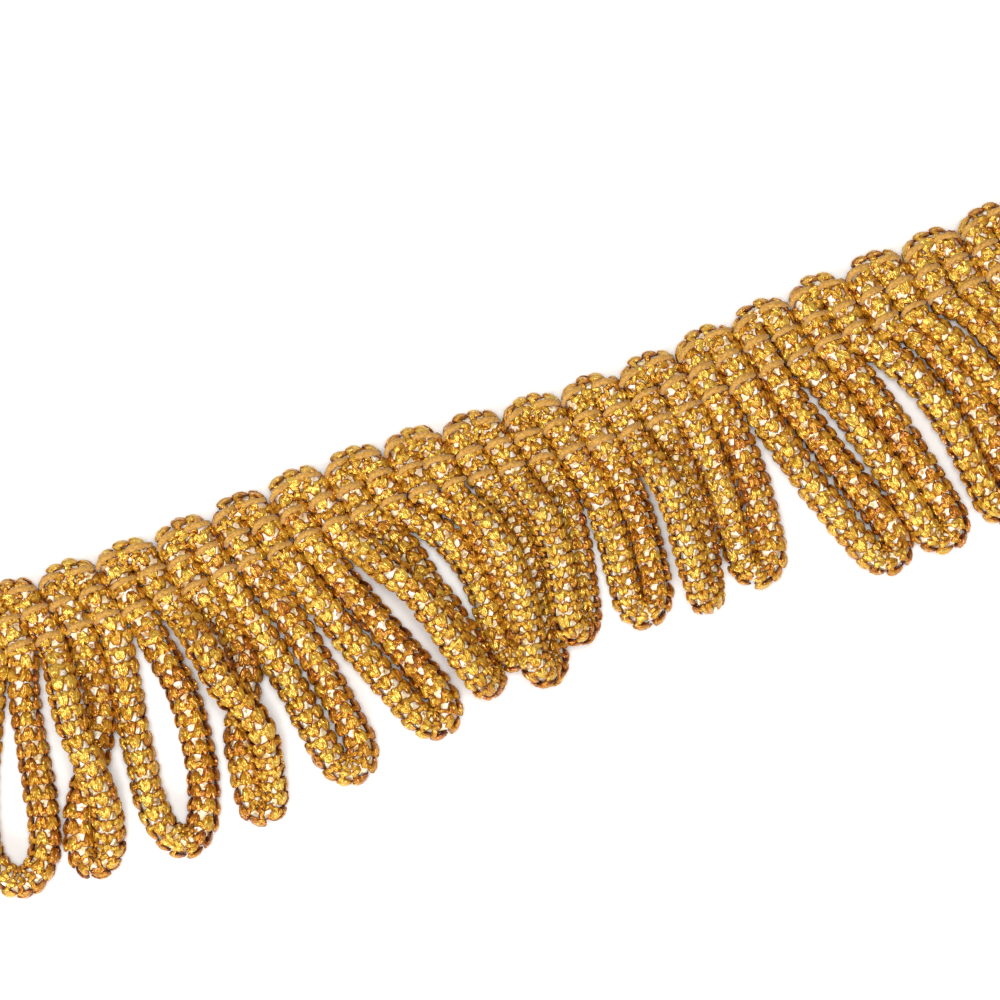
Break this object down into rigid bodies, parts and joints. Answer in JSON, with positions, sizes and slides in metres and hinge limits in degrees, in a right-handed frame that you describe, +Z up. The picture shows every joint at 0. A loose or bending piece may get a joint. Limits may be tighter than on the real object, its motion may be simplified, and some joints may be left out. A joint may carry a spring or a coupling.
{
  "type": "metallic loop fringe trim",
  "caption": "Flat length of gold knitted-cord loop fringe: a ribbed heading with a scalloped edge, bound by rows of chain stitch, with free loops hanging from it.",
  "frame": {"origin": "centre of the bounding box, on the surface that the trim lies on", "axes": "+X along the heading, +Y from the loops towards the heading's scalloped edge, +Z up from the surface"},
  "size_m": [0.149, 0.035, 0.0059],
  "materials": {
    "metallic_cord": "knitted metallised-film cord, shiny gold",
    "binding_yarn": "matte tan-gold spun yarn"
  },
  "bodies": {
    "root": {"heading": "metallic_cord", "loop_fringe": "metallic_cord", "binding_row_top": "binding_yarn", "binding_row_middle": "binding_yarn", "binding_row_lower": "binding_yarn"}
  },
  "joints": []
}
